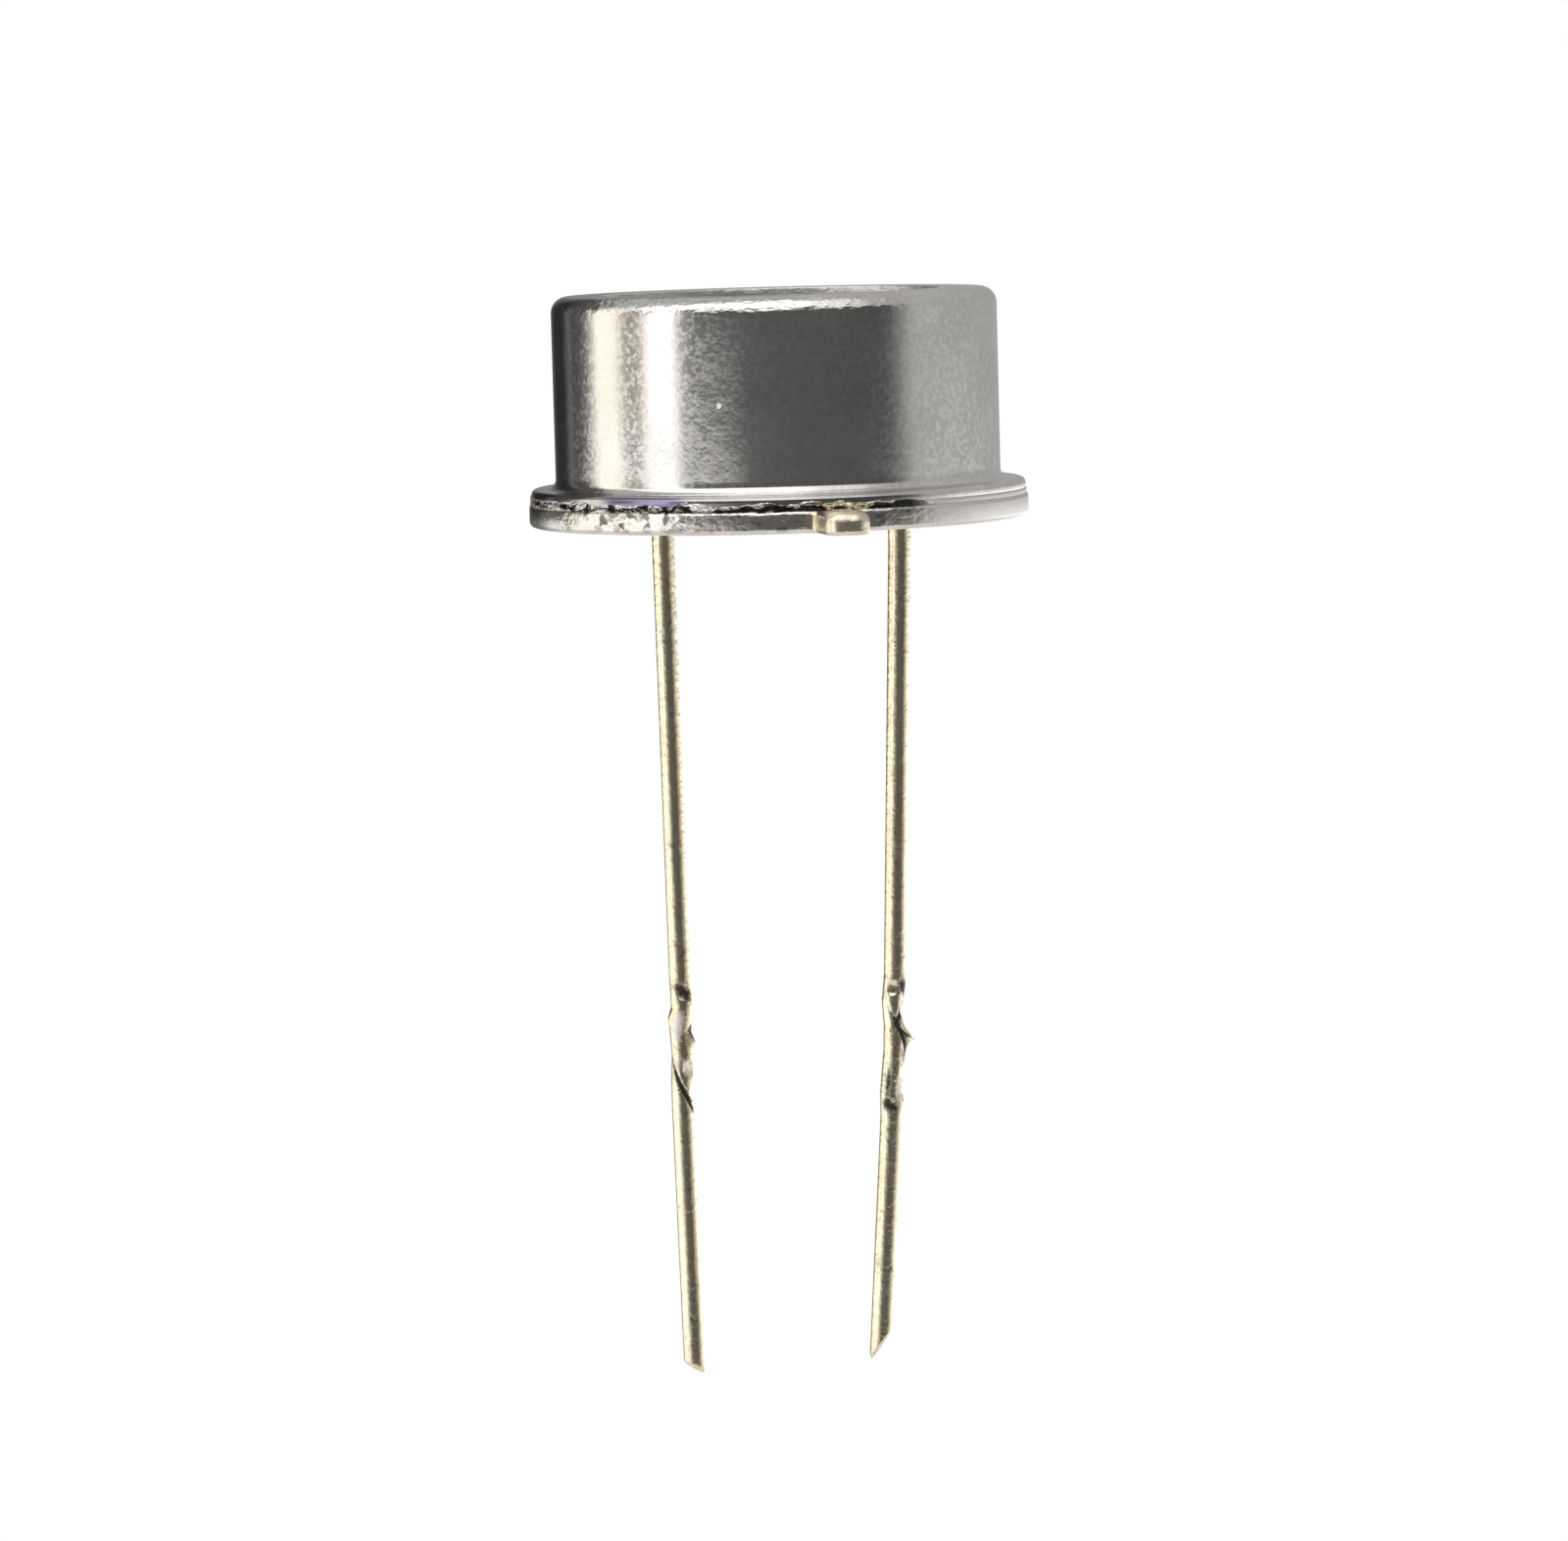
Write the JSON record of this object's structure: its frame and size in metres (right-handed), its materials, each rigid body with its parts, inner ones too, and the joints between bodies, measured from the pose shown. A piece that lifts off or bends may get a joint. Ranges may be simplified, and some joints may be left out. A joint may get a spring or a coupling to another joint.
{
  "type": "photodiode",
  "caption": "Low round metal-can photodiode with a flat glass window, an index tab and kinked wire leads, soldered to a board to sense light.",
  "frame": {"origin": "centre of the header's flat underside, on the seating plane", "axes": "+Z along the can's axis towards the window, -Z along the leads, +X to the right and -Y towards the side with the index tab"},
  "size_m": [0.009, 0.01, 0.0201],
  "materials": {
    "gold_plate": "satin gold plate",
    "nickel_plate": "satin nickel plate with fine grain",
    "weld_metal": "dark fused metal",
    "lead_plate": "pale gold plate, slightly tarnished",
    "window_glass": "polished",
    "seal_glass": "glossy dark sealing glass",
    "silicon": "polished, with a blue-violet coating on the active area",
    "die_attach": "silver-filled adhesive",
    "bond_wire": "bright gold wire"
  },
  "bodies": {
    "root": {"header": "gold_plate", "cap": "nickel_plate", "weld_seam": "weld_metal", "window": "window_glass", "window_seal": "seal_glass", "anode_lead": "lead_plate", "anode_seal": "seal_glass", "cathode_lead": "lead_plate", "lead_weld": "lead_plate", "photodiode_chip": "silicon", "die_attach": "die_attach", "bond_wire": "bond_wire"}
  },
  "joints": []
}
